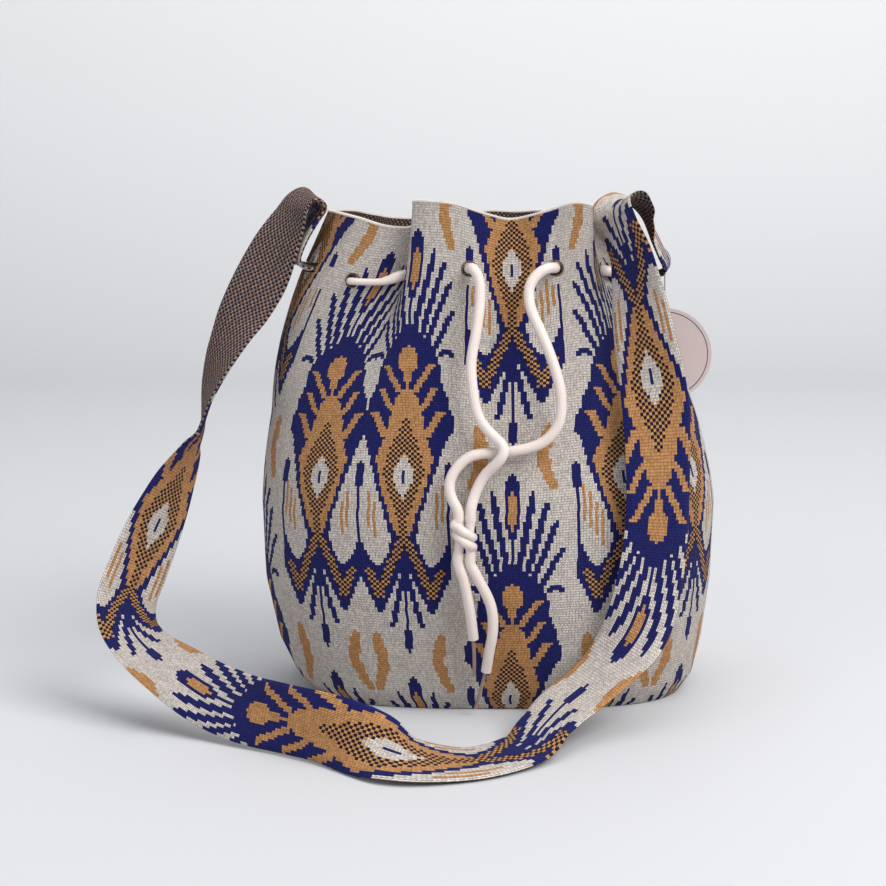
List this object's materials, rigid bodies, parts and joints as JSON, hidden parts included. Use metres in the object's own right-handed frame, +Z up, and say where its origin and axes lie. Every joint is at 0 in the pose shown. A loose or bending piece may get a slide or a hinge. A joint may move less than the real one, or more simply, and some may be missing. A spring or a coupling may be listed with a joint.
{
  "type": "wayuu mochila bag",
  "caption": "Knitted drawstring bucket bag with an ikat-style pattern, a gathered mouth, a wide knitted shoulder strap, a knotted drawcord and a bare round tag.",
  "frame": {"origin": "on the floor at the middle of the base", "axes": "+Z up, the front with the knotted drawcord faces -Y, +X to the viewer's right"},
  "size_m": [0.3498, 0.2662, 0.2911],
  "materials": {
    "knit": "matte jacquard knit",
    "binding": "matte edge tape",
    "strap_knit": "matte jacquard knit",
    "cord": "smooth satin cord sleeve",
    "core": "waxed thread",
    "card": "matte card",
    "string": "thin string"
  },
  "bodies": {
    "root": {"bag_body": "knit", "base_panel": "knit", "rim_binding": "binding", "shoulder_strap": "strap_knit", "drawcord": "cord", "cord_knot": "cord", "cord_tail_left": "cord", "cord_tail_right": "cord", "cord_core_left": "core", "cord_core_right": "core", "hang_tag": "card", "tag_string": "string"}
  },
  "joints": []
}
